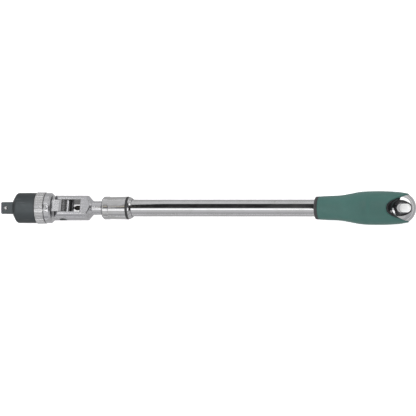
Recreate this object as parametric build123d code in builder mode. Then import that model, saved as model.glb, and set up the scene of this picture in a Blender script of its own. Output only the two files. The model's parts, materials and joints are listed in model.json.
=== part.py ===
"""Flex-head telescoping bar with an indexing drive head, 1/2 inch square.

The bar lies along X with its drive square at -X and its handle at +X.  Stations along the
bar are measured in millimetres from the drive tip, and radii from the bar's own axis.
The origin is on the surface that the bar lies on, under the middle of its length.
"""
import os
from math import cos, hypot, pi, radians, sin, sqrt

from build123d import *

# ---------------------------------------------------------------- driving dimensions
# Fits and clearances
running_fit = 0.05          # radial, for a shaft that turns or slides in its bore
press_seat = 0.02           # radial, between pieces that are pressed or bonded together
body_gap = 0.3              # between pieces that move past each other
turn_gap = 0.4              # between faces that turn past each other

# Drive square
square_side = 12.7
square_length = 13.5
square_tip_bevel = 1.0
drive_ball_radius = 2.4
drive_ball_proud = 1.1
drive_ball_station = 5.4
drive_spring_seat = 2.2     # depth of the spring's seat below the bar's axis

# Drive body (the black drum)
drum_wall = 3.5
drum_nose_radius = 9.4
drum_nose_length = 4.0
drum_nose_round = 0.8
drum_shoulder_round = 2.8
drum_length = 25.2
drum_web = 8.5              # from the drum's front face to the bottom of its cavity
drum_rear_bevel = 0.6

# Toothed ring and the rockers that catch in it
gear_teeth = 36
gear_wall = 1.4
gear_tooth_height = 0.9
gear_length = 11.0
washer_thickness = 1.1
spigot_radius = 8.0
retaining_flange_length = 1.6
retaining_ring_thickness = 1.2
retaining_groove_depth = 0.7
retaining_step = 2.4        # height of the flange above the neck behind it
rocker_pin_radius = 1.2
rocker_pin_height = 4.4
rocker_floor = 2.3          # half thickness of the spigot between its two pockets
rocker_tip_clear = 0.7      # from a level rocker's tip to the crests of the teeth
rocker_wall = 2.0           # spigot left at each end of a pocket

# Selector ring
ring_proud = 0.7            # of the drum and the flange
ring_length = 9.6
ring_bevel = 0.6
ring_flutes = 54
ring_flute_radius = 0.6
journal_radius = 12.0
sleeve_wall = 1.9
sleeve_length = 5.4
detent_ball_radius = 1.5
detent_ball_proud = 0.7
detent_spring_length = 4.0
stop_pin_radius = 2.0
stop_pin_setback = 1.9      # from the flange's front face to the pin's centre
selector_swing = 7.0        # degrees each way

# Knuckle: flange and serrated tongue
rim_wall = 1.65             # of the flange, outside the selector ring's sleeve
flange_length = 7.0
flange_bevel = 1.6
edge_round = 0.4            # of plated edges, in the knuckle, the fork and the collar
tongue_thickness = 12.7
tongue_height = 19.0
tongue_end_radius = 10.2
notch_pitch = 22.5
notch_count = 9
notch_width = 2.3
notch_depth = 1.2
pin_radius = 4.0

# Fork and inner bar
shank_roll = -17.0          # degrees round the bar's axis from the handle's flat way up
fork_radius = 13.2
fork_round = 1.0
fork_height = 19.0
fork_tip_radius = 10.7
fork_flange_gap = 1.6       # from the flange to the fork's tips
fork_slot_depth = 19.6      # from the pivot's axis to the bottom of the slot
fork_cone_length = 5.5
fork_body_length = 26.5     # from the pivot's axis to the start of the cone
pin_recess = 0.8
rod_radius = 7.3
neck_length = 10.6          # of bar seen between fork and collar
plunger_radius = 2.5
plunger_length = 16.0
plunger_tip_radius = 0.9
plunger_cone_length = 2.4
plunger_travel = 1.5
plunger_tip_clear = 0.5
flex_spring_closed = 5.0    # length left for the flex spring with the plunger pressed home
index_grooves = 13
index_pitch = 12.5
index_groove_depth = 1.2
extension = 150.0
stem_radius = 5.0
guide_length = 13.0
tip_screw_radius = 2.0
tip_screw_length = 9.0
tip_head_radius = 6.4
tip_head_height = 2.6

# Lock collar at the front of the tube
collar_nose_radius = 10.4
collar_nose_length = 1.8
collar_nose_round = 1.2
collar_rim_length = 7.4     # full-size rim at the collar's front
collar_waist_depth = 0.5    # of the waist behind the rim, which swells back to full size
collar_travel = 4.0
collar_wall = 1.35
collar_front_wall = 1.6
lock_ball_radius = 1.6
lock_ball_count = 4
lock_ball_setback = 6.0     # from the front of the ball cage to the balls
stop_ring_thickness = 1.2
nut_length = 8.7
nut_spigot_length = 3.0
seal_radius = 1.1
collar_spring_length = 6.6

# Tube and ball cage
tube_wall = 1.1
cage_wall = 0.55            # of the cage where it is pressed into the tube
cage_seam_setback = 1.2     # from the front of the collar's nut to the end of the tube
cage_spigot_length = 12.0
tube_length = 287.0

# Handle
grip_on_tube = 79.7         # length of tube inside the handle
nose_length = 3.5
nose_front_wall = 1.9       # of the nose ring round the tube, at its front
grip_wall = 2.2
# each section of the grip: distance behind the nose ring, then how far its surface
# stands out from the tube's across the bar and up from it
grip_sections = [
    (0.0, 3.2, 3.2),
    (11.0, 3.8, 3.6),
    (24.0, 4.4, 4.1),
    (35.0, 6.2, 5.3),
    (46.0, 8.1, 6.7),
    (60.0, 8.8, 7.4),
    (74.0, 8.6, 7.2),
    (86.0, 7.8, 6.2),
    (93.0, 6.7, 4.9),
    (97.5, 5.7, 3.9),
]
cut_setback = 76.0          # from the nose ring to the valley of the cut
cut_spread = 6.2            # how far the cut stands out from the tube where the grip ends
cut_power = 0.39            # how blunt the valley is
core_lip = 1.1              # width of the black core seen inside the cut
cap_spread = 7.9            # how far the cap's dome stands out from the tube
cap_setback = 9.9           # from the grip's rear end to the widest part of the dome
cap_flatness = 0.64
hole_length = 15.2
hole_width = 9.0
flare_slope = 30.0          # degrees, of the hole's two mouths
flare_depth = 4.3           # below the cap's highest point, where the mouths start
hole_end_wall = 3.9
plug_length = 24.0
tang_width = 14.0
tang_thickness = 6.0
tang_length = 6.4
cap_pin_radius = 1.5
cap_pin_offset = 3.6
cap_pin_setback = 4.0       # from the end of the tube to the pin

# ---------------------------------------------------------------- radii that follow
sleeve_radius = journal_radius + running_fit + sleeve_wall
pocket_radius = sleeve_radius + turn_gap
flange_radius = pocket_radius + rim_wall
drum_radius = flange_radius
ring_radius = drum_radius + ring_proud
cavity_radius = drum_radius - drum_wall
gear_root_radius = cavity_radius - gear_wall
gear_tip_radius = gear_root_radius - gear_tooth_height
rocker_tip_radius = gear_tip_radius - rocker_tip_clear
retaining_flange_radius = cavity_radius - rocker_tip_clear
neck_radius = retaining_flange_radius - retaining_step
cage_bore = rod_radius + running_fit
tube_bore = cage_bore + cage_wall
tube_radius = tube_bore + tube_wall
collar_clear = tube_radius + body_gap
relief_radius = cage_bore + 2 * lock_ball_radius + body_gap
chamber_radius = relief_radius
collar_radius = relief_radius + collar_wall
slot_half = 0.5 * tongue_thickness + body_gap
nose_radius = tube_radius + grip_sections[0][1]
cut_half_width = tube_radius + cut_spread
cap_radius = tube_radius + cap_spread
grip_half_thickness = tube_radius + max(section[2] for section in grip_sections)

# ---------------------------------------------------------------- stations, from the drive tip
drum_front = square_length
drum_rear = drum_front + drum_length
cavity_floor = drum_front + drum_web
washer_front = cavity_floor + running_fit
spigot_front = washer_front + washer_thickness + body_gap
gear_front = spigot_front - 0.5 * body_gap
gear_rear = gear_front + gear_length
retaining_flange_front = gear_rear + 2 * body_gap
retaining_flange_rear = retaining_flange_front + retaining_flange_length
retaining_ring_front = retaining_flange_rear + turn_gap
retaining_ring_rear = retaining_ring_front + retaining_ring_thickness
ring_front = drum_rear + turn_gap
ring_rear = ring_front + ring_length
flange_front = ring_rear + turn_gap
flange_rear = flange_front + flange_length
sleeve_rear = ring_rear + sleeve_length
pivot = flange_rear + fork_flange_gap + fork_tip_radius
slot_bottom = pivot + fork_slot_depth
cone_start = pivot + fork_body_length
cone_end = cone_start + fork_cone_length
plunger_tip = pivot + tongue_end_radius + plunger_tip_clear
plunger_rear = plunger_tip + plunger_length
plunger_bore_end = plunger_rear + flex_spring_closed + plunger_travel
collar_front = cone_end + neck_length
collar_cavity = collar_front + collar_front_wall
cage_front = collar_cavity + collar_travel + 2 * turn_gap
lock_station = cage_front + lock_ball_setback
relief_front = lock_station - lock_ball_radius - collar_travel - turn_gap
relief_rear = lock_station + lock_ball_radius + body_gap
chamber_front = relief_rear + 1.0
collar_spring_front = chamber_front + 0.2
stop_ring_front = collar_spring_front + collar_spring_length + 0.1
stop_ring_rear = stop_ring_front + stop_ring_thickness
nut_front = stop_ring_rear + body_gap
nut_rear = nut_front + nut_length
collar_rear = nut_front + nut_spigot_length
cage_shoulder = nut_front + cage_seam_setback
cage_rear = cage_shoulder + cage_spigot_length
tube_rear = cage_shoulder + tube_length
guide_front = cage_rear + extension + body_gap
guide_rear = guide_front + guide_length
stem_end = guide_rear + body_gap
grip_start = tube_rear - grip_on_tube
nose_rear = grip_start + nose_length
grip_rear = nose_rear + grip_sections[-1][0]
cut_valley = nose_rear + cut_setback
cap_centre = grip_rear - cap_setback
cap_end = cap_centre + cap_radius
hole_centre = cap_end - hole_end_wall - 0.5 * hole_length
cap_pin_station = tube_rear + cap_pin_setback
flare_start = cap_flatness * cap_radius - flare_depth
overall_length = cap_end

axis_height = max(ring_radius, grip_half_thickness)
tip_x = -0.5 * overall_length


# ---------------------------------------------------------------- places and helpers
bar_axis = Axis((tip_x, 0, axis_height), (1, 0, 0))


def side_plane(roll=0.0):
    """Plane through the bar's axis: x is the station, y is the height above the axis."""
    turn = radians(roll)
    return Plane((tip_x, 0, axis_height), x_dir=(1, 0, 0), z_dir=(0, -cos(turn), -sin(turn)))


def top_plane(roll=0.0, height=0.0):
    """Plane seen from above: x is the station, y is across the bar."""
    turn = radians(roll)
    return Plane(
        (tip_x, -height * sin(turn), axis_height + height * cos(turn)),
        x_dir=(1, 0, 0),
        z_dir=(0, -sin(turn), cos(turn)),
    )


def cross_plane(station, roll=0.0):
    """Plane across the bar at a station: x is across, y is up, and its normal is +X."""
    turn = radians(roll)
    return Plane(
        (tip_x + station, 0, axis_height), x_dir=(0, cos(turn), sin(turn)), z_dir=(1, 0, 0)
    )


def outline(points, plane):
    """Closed flat outline; a third number on a point is the radius that rounds its corner."""
    corners = [point[:2] for point in points]
    rounds = [point[2] if len(point) > 2 else 0 for point in points]
    with BuildSketch(plane) as flat:
        with BuildLine():
            FilletPolyline(*corners, radius=rounds, close=True)
        make_face()
    return flat.sketch


def turned(points):
    """Half section of a turned piece: each point is a station and a radius."""
    return outline(points, side_plane())


def ring_section(front, rear, inner, outer):
    """Half section of a plain ring."""
    return turned([(front, inner), (rear, inner), (rear, outer), (front, outer)])


def disc(radius, plane, centre=(0, 0)):
    """Flat disc on a plane."""
    with BuildSketch(plane) as flat:
        with Locations(centre):
            Circle(radius)
    return flat.sketch


def coil(plane, radius, wire, length, turns):
    """Helical spring that starts at a plane and runs along its normal."""
    pitch = (length - 2 * wire) / turns
    with BuildPart() as spring:
        with BuildLine() as path:
            Helix(pitch, pitch * turns, radius)
        with BuildSketch(path.line ^ 0):
            Circle(wire)
        sweep()
    return plane * Pos(0, 0, wire) * spring.part


def finish(piece, name, tint):
    """Name a finished piece, give it a display colour and write it."""
    piece.part.label = name
    piece.part.color = Color(*tint)
    export_step(piece.part, f"parts/{name}.step")


chrome = (0.82, 0.83, 0.85)
black_oxide = (0.09, 0.1, 0.1)
steel = (0.55, 0.56, 0.58)
bronze = (0.65, 0.5, 0.28)
black_plastic = (0.05, 0.05, 0.05)
green_rubber = (0.08, 0.3, 0.27)

os.makedirs("parts", exist_ok=True)

# ---------------------------------------------------------------- drive body
half_square = 0.5 * square_side
ball_height = half_square + drive_ball_proud - drive_ball_radius

with BuildPart() as drive_body:
    drum_points = [
        (drum_front, 0),
        (drum_front, drum_nose_radius, drum_nose_round),
        (drum_front + drum_nose_length, drum_radius, drum_shoulder_round),
        (drum_rear, drum_radius, drum_rear_bevel),
        (drum_rear, cavity_radius),
        (retaining_ring_rear, cavity_radius),
        (retaining_ring_rear, cavity_radius + retaining_groove_depth),
        (retaining_ring_front, cavity_radius + retaining_groove_depth),
        (retaining_ring_front, cavity_radius),
        (cavity_floor, cavity_radius),
        (cavity_floor, 0),
    ]
    revolve(turned(drum_points), axis=bar_axis)
    with BuildSketch(cross_plane(0)):
        RectangleRounded(square_side, square_side, 1.0)
    extrude(amount=square_length + 1.0)
    tip_edges = drive_body.edges().group_by(Axis.X)[0]
    chamfer(tip_edges, square_tip_bevel)
    ball_bore = disc(
        drive_ball_radius + running_fit, top_plane(height=half_square), (drive_ball_station, 0)
    )
    extrude(ball_bore, amount=-(half_square + drive_spring_seat), mode=Mode.SUBTRACT)
finish(drive_body, "drive_body", black_oxide)

with BuildPart() as drive_ball:
    with Locations((tip_x + drive_ball_station, 0, axis_height + ball_height)):
        Sphere(drive_ball_radius)
finish(drive_ball, "drive_ball", chrome)

ball_spring_length = ball_height - drive_ball_radius + drive_spring_seat - 0.1
ball_spring_plane = Plane(
    (tip_x + drive_ball_station, 0, axis_height - drive_spring_seat + 0.05), z_dir=(0, 0, 1)
)
with BuildPart() as drive_ball_spring:
    add(coil(ball_spring_plane, 1.7, 0.25, ball_spring_length, 4))
finish(drive_ball_spring, "drive_ball_spring", steel)

with BuildPart() as ratchet_gear:
    with BuildSketch(cross_plane(gear_front)):
        Circle(cavity_radius - press_seat)
        tooth_points = []
        for tooth in range(gear_teeth):
            valley_angle = 2 * pi * tooth / gear_teeth
            crest_angle = 2 * pi * (tooth + 0.5) / gear_teeth
            for reach, angle in ((gear_root_radius, valley_angle), (gear_tip_radius, crest_angle)):
                tooth_points.append((reach * cos(angle), reach * sin(angle)))
        with BuildLine():
            Polyline(*tooth_points, close=True)
        make_face(mode=Mode.SUBTRACT)
    extrude(amount=gear_length)
finish(ratchet_gear, "ratchet_gear", steel)

with BuildPart() as thrust_washer:
    washer = ring_section(
        washer_front, washer_front + washer_thickness, 3.0, gear_tip_radius - turn_gap
    )
    revolve(washer, axis=bar_axis)
finish(thrust_washer, "thrust_washer", bronze)

with BuildPart() as head_retaining_ring:
    ring_outer = cavity_radius + retaining_groove_depth - press_seat
    ring_inner = neck_radius + turn_gap
    seat = ring_section(
        retaining_ring_front + press_seat, retaining_ring_rear - press_seat, ring_inner, ring_outer
    )
    revolve(seat, axis=bar_axis)
    with BuildSketch(cross_plane(retaining_ring_front)):
        with Locations((0, -cavity_radius)):
            Rectangle(3.0, cavity_radius)
    extrude(amount=retaining_ring_thickness, mode=Mode.SUBTRACT)
finish(head_retaining_ring, "head_retaining_ring", steel)

# ---------------------------------------------------------------- knuckle
pocket_front = spigot_front + rocker_wall
pocket_rear = gear_rear - rocker_wall + 1.0
detent_station = ring_front + 0.5 * ring_length
detent_height = journal_radius + detent_ball_proud - detent_ball_radius
detent_seat = detent_height - detent_ball_radius - detent_spring_length
stop_pin_station = flange_front + stop_pin_setback
slot_travel = flange_radius * sin(radians(selector_swing))
slot_length = 2 * (stop_pin_radius + slot_travel + body_gap)

with BuildPart() as knuckle:
    core_points = [
        (spigot_front, 0),
        (spigot_front, spigot_radius),
        (retaining_flange_front, spigot_radius),
        (retaining_flange_front, retaining_flange_radius),
        (retaining_flange_rear, retaining_flange_radius),
        (retaining_flange_rear, neck_radius),
        (ring_front, neck_radius),
        (ring_front, journal_radius),
        (sleeve_rear + turn_gap, journal_radius),
        (sleeve_rear + turn_gap, pocket_radius),
        (flange_front, pocket_radius),
        (flange_front, flange_radius, edge_round),
        (flange_rear - flange_bevel, flange_radius, 2 * edge_round),
        (flange_rear, flange_radius - flange_bevel, edge_round),
        (flange_rear, 0),
    ]
    revolve(turned(core_points), axis=bar_axis)
    # tongue: straight blade with a round end about the pivot
    with BuildSketch(side_plane(shank_roll)):
        with Locations((pivot, 0)):
            Circle(tongue_end_radius)
        with Locations((0.5 * (flange_rear - 1 + pivot), 0)):
            Rectangle(pivot - flange_rear + 1, tongue_height)
        with Locations((pivot, 0)):
            Circle(pin_radius + running_fit, mode=Mode.SUBTRACT)
            with PolarLocations(tongue_end_radius + 0.3, notch_count,
                                start_angle=-0.5 * (notch_count - 1) * notch_pitch,
                                angular_range=notch_count * notch_pitch):
                Polygon(
                    (-notch_depth - 0.3, -0.25 * notch_width),
                    (0.4, -0.55 * notch_width),
                    (0.4, 0.55 * notch_width),
                    (-notch_depth - 0.3, 0.25 * notch_width),
                    align=None,
                    mode=Mode.SUBTRACT,
                )
    extrude(amount=0.5 * tongue_thickness, both=True)
    # pockets for the two rockers, and the bores for their pins
    for side in (1, -1):
        with BuildSketch(cross_plane(pocket_front)):
            with Locations((0, side * (rocker_floor + spigot_radius))):
                Rectangle(4 * spigot_radius, 2 * spigot_radius)
        extrude(amount=pocket_rear - pocket_front, mode=Mode.SUBTRACT)
        pin_bore = disc(rocker_pin_radius, cross_plane(spigot_front), (0, side * rocker_pin_height))
        extrude(pin_bore, amount=retaining_flange_rear - spigot_front, mode=Mode.SUBTRACT)
    # bore for the selector's detent ball and spring, on the underside
    detent_bore = disc(
        detent_ball_radius + running_fit, top_plane(height=-journal_radius), (detent_station, 0)
    )
    extrude(detent_bore, amount=journal_radius - detent_seat, mode=Mode.SUBTRACT)
    # arc slot for the stop pin, through the flange's rim
    with BuildSketch(top_plane(height=journal_radius + sleeve_wall)):
        with Locations((stop_pin_station, 0)):
            SlotOverall(slot_length, 2 * (stop_pin_radius + body_gap), rotation=90)
    extrude(amount=flange_radius, mode=Mode.SUBTRACT)
finish(knuckle, "knuckle", chrome)

with BuildPart() as pawl_pins:
    for side in (1, -1):
        pin = disc(rocker_pin_radius, cross_plane(spigot_front + 0.3), (0, side * rocker_pin_height))
        extrude(pin, amount=retaining_flange_rear - spigot_front - 0.6)
finish(pawl_pins, "pawl_pins", steel)

# Rocker: a two-ended pawl that tips either end towards the toothed ring
rocker_angle = radians(47.0)
tip_across = rocker_tip_radius * cos(rocker_angle)
tip_up = rocker_tip_radius * sin(rocker_angle)
for name, side in (("rocker_pawl_upper", 1), ("rocker_pawl_lower", -1)):
    with BuildPart() as rocker_pawl:
        with BuildSketch(cross_plane(pocket_front + body_gap, 0 if side > 0 else 180)):
            with BuildLine():
                l1 = Line((-3.0, rocker_floor + 0.6), (3.0, rocker_floor + 0.6))
                l2 = Line(l1 @ 1, (tip_across, tip_up))
                l3 = ThreePointArc(l2 @ 1, (0, rocker_tip_radius - 1.0), (-tip_across, tip_up))
                Line(l3 @ 1, l1 @ 0)
            make_face()
            with Locations((0, rocker_pin_height)):
                Circle(rocker_pin_radius + running_fit, mode=Mode.SUBTRACT)
        extrude(amount=pocket_rear - pocket_front - 2 * body_gap)
    finish(rocker_pawl, name, steel)

with BuildPart() as selector_ball:
    with Locations((tip_x + detent_station, 0, axis_height - detent_height)):
        Sphere(detent_ball_radius)
finish(selector_ball, "selector_ball", steel)

detent_spring_plane = Plane(
    (tip_x + detent_station, 0, axis_height - detent_seat - 0.05), z_dir=(0, 0, -1)
)
with BuildPart() as selector_spring:
    add(coil(detent_spring_plane, 1.0, 0.2, detent_spring_length - 0.1, 5))
finish(selector_spring, "selector_spring", steel)

# ---------------------------------------------------------------- selector ring and its stop pin
bore_radius = journal_radius + running_fit
groove_radius = journal_radius + detent_ball_proud + body_gap
groove_half = detent_ball_radius + 0.1
with BuildPart() as selector_ring:
    ring_points = [
        (ring_front, bore_radius),
        (detent_station - groove_half, bore_radius),
        (detent_station - groove_half, groove_radius),
        (detent_station + groove_half, groove_radius),
        (detent_station + groove_half, bore_radius),
        (sleeve_rear, bore_radius),
        (sleeve_rear, sleeve_radius),
        (ring_rear, sleeve_radius),
        (ring_rear, ring_radius, ring_bevel),
        (ring_front, ring_radius, ring_bevel),
    ]
    revolve(turned(ring_points), axis=bar_axis)
    with BuildSketch(cross_plane(ring_front + 1.6 * ring_bevel)):
        with PolarLocations(ring_radius + 0.5 * ring_flute_radius, ring_flutes):
            Circle(ring_flute_radius)
    extrude(amount=ring_length - 3.2 * ring_bevel, mode=Mode.SUBTRACT)
    pin_hole = disc(stop_pin_radius, top_plane(height=journal_radius), (stop_pin_station, 0))
    extrude(pin_hole, amount=flange_radius, mode=Mode.SUBTRACT)
finish(selector_ring, "selector_ring", chrome)

with BuildPart() as selector_stop_pin:
    pin_start = bore_radius + 0.3
    pin_foot = disc(stop_pin_radius - press_seat, top_plane(height=pin_start), (stop_pin_station, 0))
    extrude(pin_foot, amount=flange_radius - 0.2 - pin_start)
    fillet(selector_stop_pin.edges().sort_by(Axis.Z)[-1], 0.9)
finish(selector_stop_pin, "selector_stop_pin", chrome)

# ---------------------------------------------------------------- fork and inner bar
half_height = 0.5 * fork_height
groove_section = [
    (-0.5 * index_pitch * 0.34, rod_radius + 0.1),
    (-0.5 * index_pitch * 0.18, rod_radius - index_groove_depth),
    (0.5 * index_pitch * 0.18, rod_radius - index_groove_depth),
    (0.5 * index_pitch * 0.34, rod_radius + 0.1),
]
with BuildPart() as fork_shank:
    bar_points = [
        (pivot - fork_tip_radius - 1, 0),
        (pivot - fork_tip_radius - 1, fork_radius),
        (cone_start, fork_radius),
        (cone_end, rod_radius),
        (guide_front - body_gap, rod_radius),
        (guide_front - body_gap, stem_radius),
        (stem_end, stem_radius),
        (stem_end, 0),
    ]
    revolve(turned(bar_points), axis=bar_axis)
    # two flats and a round nose: what the fork keeps, seen from its side
    with BuildSketch(side_plane(shank_roll)):
        with Locations((pivot, 0)):
            Circle(fork_tip_radius)
        with Locations((0.5 * (pivot + stem_end) + 2, 0)):
            Rectangle(stem_end - pivot + 4, 2 * fork_tip_radius)
        with Locations((0.5 * stem_end, half_height + fork_radius)):
            Rectangle(2 * stem_end, 2 * fork_radius, mode=Mode.SUBTRACT)
        with Locations((0.5 * stem_end, -half_height - fork_radius)):
            Rectangle(2 * stem_end, 2 * fork_radius, mode=Mode.SUBTRACT)
    extrude(amount=fork_radius + 1, both=True, mode=Mode.INTERSECT)
    # soft edges where the two flats meet the round sides
    flats = fork_shank.faces().filter_by(GeomType.PLANE).sort_by(SortBy.AREA)[-2:]
    fillet(flats.edges(), fork_round)
    # slot for the tongue
    with BuildSketch(top_plane(shank_roll)):
        with Locations((0.5 * slot_bottom, 0)):
            Rectangle(slot_bottom, 2 * slot_half)
    extrude(amount=fork_radius, both=True, mode=Mode.SUBTRACT)
    slot_corners = fork_shank.edges().filter_by(
        lambda edge: abs(edge.center().X - tip_x - slot_bottom) < 0.01
        and edge.length > fork_height - 1.0
    )
    fillet(slot_corners, 1.2)
    # bores for the pivot pin, the plunger and the tip screw
    with BuildSketch(side_plane(shank_roll)):
        with Locations((pivot, 0)):
            Circle(pin_radius)
    extrude(amount=fork_radius + 1, both=True, mode=Mode.SUBTRACT)
    plunger_bore = disc(plunger_radius + running_fit, cross_plane(slot_bottom - 1))
    extrude(plunger_bore, amount=plunger_bore_end - slot_bottom + 1, mode=Mode.SUBTRACT)
    screw_bore = disc(tip_screw_radius, cross_plane(stem_end))
    extrude(screw_bore, amount=-tip_screw_length - 1, mode=Mode.SUBTRACT)
    # ring grooves that the lock balls hold in
    for step in range(index_grooves):
        groove_centre = lock_station + step * index_pitch
        groove = [(groove_centre + along, radius) for along, radius in groove_section]
        revolve(turned(groove), axis=bar_axis, mode=Mode.SUBTRACT)
finish(fork_shank, "fork_shank", chrome)

with BuildPart() as pivot_pin:
    pin_half = sqrt(fork_radius ** 2 - pin_radius ** 2) - pin_recess + 0.6
    with BuildSketch(side_plane(shank_roll)):
        with Locations((pivot, 0)):
            Circle(pin_radius - 0.005)
    extrude(amount=pin_half, both=True)
    chamfer(pivot_pin.edges().filter_by(GeomType.CIRCLE), 0.5)
finish(pivot_pin, "pivot_pin", black_oxide)

with BuildPart() as flex_plunger:
    plunger_points = [
        (plunger_tip, 0),
        (plunger_tip, plunger_tip_radius),
        (plunger_tip + plunger_cone_length, plunger_radius),
        (plunger_rear, plunger_radius),
        (plunger_rear, 0),
    ]
    revolve(turned(plunger_points), axis=bar_axis)
finish(flex_plunger, "flex_plunger", steel)

with BuildPart() as flex_spring:
    flex_spring_length = plunger_bore_end - plunger_rear - 0.1
    add(coil(cross_plane(plunger_rear + 0.05), 1.9, 0.3, flex_spring_length, 5))
finish(flex_spring, "flex_spring", steel)

with BuildPart() as guide_bush:
    bush = turned([
        (guide_front, stem_radius + running_fit),
        (guide_rear, stem_radius + running_fit),
        (guide_rear, tube_bore - running_fit - 0.6),
        (guide_rear - 0.6, tube_bore - running_fit),
        (guide_front + 0.6, tube_bore - running_fit),
        (guide_front, tube_bore - running_fit - 0.6),
    ])
    revolve(bush, axis=bar_axis)
finish(guide_bush, "guide_bush", bronze)

with BuildPart() as shank_tip_screw:
    screw_points = [
        (stem_end - tip_screw_length, 0),
        (stem_end - tip_screw_length, tip_screw_radius - press_seat),
        (stem_end, tip_screw_radius - press_seat),
        (stem_end, tip_head_radius),
        (stem_end + 0.7 * tip_head_height, tip_head_radius),
        (stem_end + tip_head_height, tip_head_radius - 0.8),
        (stem_end + tip_head_height, 0),
    ]
    revolve(turned(screw_points), axis=bar_axis)
    with BuildSketch(cross_plane(stem_end + tip_head_height)):
        Rectangle(2 * tip_head_radius, 1.0)
    extrude(amount=-0.4 * tip_head_height, mode=Mode.SUBTRACT)
finish(shank_tip_screw, "shank_tip_screw", steel)

# ---------------------------------------------------------------- ball cage, balls and tube
ball_centre_radius = cage_bore + lock_ball_radius
with BuildPart() as lock_cage:
    cage_points = [
        (cage_front, cage_bore),
        (cage_rear, cage_bore),
        (cage_rear, tube_bore - press_seat),
        (cage_shoulder, tube_bore - press_seat),
        (cage_shoulder, tube_radius),
        (stop_ring_rear, tube_radius),
        (stop_ring_rear, tube_radius - 0.5),
        (stop_ring_front, tube_radius - 0.5),
        (stop_ring_front, tube_radius),
        (cage_front + 0.5, tube_radius),
        (cage_front, tube_radius - 0.5),
    ]
    revolve(turned(cage_points), axis=bar_axis)
    for ball in range(lock_ball_count):
        turn = 45 + 360 * ball / lock_ball_count
        ball_hole = disc(lock_ball_radius + running_fit, top_plane(turn), (lock_station, 0))
        extrude(ball_hole, amount=tube_radius + 1, mode=Mode.SUBTRACT)
finish(lock_cage, "lock_cage", steel)

with BuildPart() as lock_balls:
    for ball in range(lock_ball_count):
        turn = radians(45 + 360 * ball / lock_ball_count)
        ball_place = (
            tip_x + lock_station,
            -ball_centre_radius * sin(turn),
            axis_height + ball_centre_radius * cos(turn),
        )
        with Locations(ball_place):
            Sphere(lock_ball_radius)
finish(lock_balls, "lock_balls", steel)

with BuildPart() as collar_stop_ring:
    stop = ring_section(
        stop_ring_front + press_seat,
        stop_ring_rear - press_seat,
        tube_radius - 0.5 + press_seat,
        chamber_radius - body_gap,
    )
    revolve(stop, axis=bar_axis)
finish(collar_stop_ring, "collar_stop_ring", steel)

with BuildPart() as outer_tube:
    tube = ring_section(cage_shoulder, tube_rear, tube_bore, tube_radius)
    revolve(tube, axis=bar_axis)
finish(outer_tube, "outer_tube", chrome)

# ---------------------------------------------------------------- lock collar
with BuildPart() as lock_collar:
    rim_end = collar_front + collar_rim_length
    collar_points = [
        (collar_front, rod_radius + body_gap),
        (collar_front, collar_nose_radius, edge_round),
        (collar_front + collar_nose_length, collar_radius, collar_nose_round),
        (rim_end, collar_radius, 0.5 * edge_round),
        (rim_end + collar_waist_depth, collar_radius - collar_waist_depth, 0.5 * edge_round),
        (collar_rear, collar_radius, edge_round),
        (collar_rear, chamber_radius),
        (chamber_front, chamber_radius),
        (chamber_front, collar_clear),
        (relief_rear, collar_clear),
        (relief_rear, relief_radius),
        (relief_front, relief_radius),
        (relief_front, collar_clear),
        (collar_cavity, collar_clear),
        (collar_cavity, rod_radius + body_gap),
    ]
    revolve(turned(collar_points), axis=bar_axis)
finish(lock_collar, "lock_collar", chrome)

seal_front = collar_rear
seal_rear = seal_front + 2 * seal_radius
seal_seat = collar_radius - 2 * seal_radius
with BuildPart() as collar_end_nut:
    nut_points = [
        (nut_front, collar_clear),
        (nut_front, chamber_radius - press_seat),
        (seal_front, chamber_radius - press_seat),
        (seal_front, seal_seat),
        (seal_rear, seal_seat),
        (seal_rear, collar_radius - 0.3, edge_round),
        (seal_rear + 0.5 * (nut_rear - seal_rear), collar_radius - 0.9, 2 * edge_round),
        (nut_rear, collar_clear + 0.7, 0.5 * edge_round),
        (nut_rear, collar_clear),
    ]
    revolve(turned(nut_points), axis=bar_axis)
finish(collar_end_nut, "collar_end_nut", chrome)

with BuildPart() as collar_seal:
    with BuildSketch(side_plane()):
        with Locations((0.5 * (seal_front + seal_rear), seal_seat + seal_radius)):
            Circle(seal_radius - 0.01)
    revolve(axis=bar_axis)
finish(collar_seal, "collar_seal", black_plastic)

with BuildPart() as collar_spring:
    spring_radius = 0.5 * (collar_clear + chamber_radius)
    add(coil(cross_plane(collar_spring_front), spring_radius, 0.5, collar_spring_length, 3))
finish(collar_spring, "collar_spring", steel)

# ---------------------------------------------------------------- handle
with BuildPart() as grip_front_ring:
    nose_points = [
        (grip_start, tube_radius + press_seat),
        (grip_start, tube_radius + nose_front_wall),
        (grip_start + 0.35 * nose_length, nose_radius - 0.35),
        (grip_start + 0.7 * nose_length, nose_radius),
        (nose_rear, nose_radius),
        (nose_rear, tube_radius + press_seat),
    ]
    revolve(turned(nose_points), axis=bar_axis)
finish(grip_front_ring, "grip_front_ring", black_plastic)


def grip_form(inset):
    """Solid of the grip's outer form, drawn in by an even inset."""
    with BuildPart() as form:
        for along, across, above in grip_sections:
            with BuildSketch(cross_plane(nose_rear + along)):
                Ellipse(tube_radius + across - inset, tube_radius + above - inset)
        loft()
    return form.part


def cut_region(inset):
    """Block that the grip's rear cut takes away, drawn in by an even inset."""
    reach = grip_rear + 12
    depth = reach - cut_valley
    span = grip_rear - cut_valley
    upper = []
    for step in (0.015, 0.06, 0.16, 0.35, 0.65, 1.0):
        along = depth * step
        across = cut_half_width * (along / span) ** cut_power
        slope = cut_power * across / along
        lean = hypot(slope, 1.0)
        upper.append((cut_valley + along + inset * slope / lean, across - inset / lean))
    lower = [(along, -across) for along, across in reversed(upper)]
    with BuildPart() as block:
        with BuildSketch(top_plane()):
            with BuildLine():
                edge = Spline(*reversed(upper), (cut_valley + inset, 0), *reversed(lower))
                Line(edge @ 1, edge @ 0)
            make_face()
        extrude(amount=2 * cap_radius, both=True)
    return block.part


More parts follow.
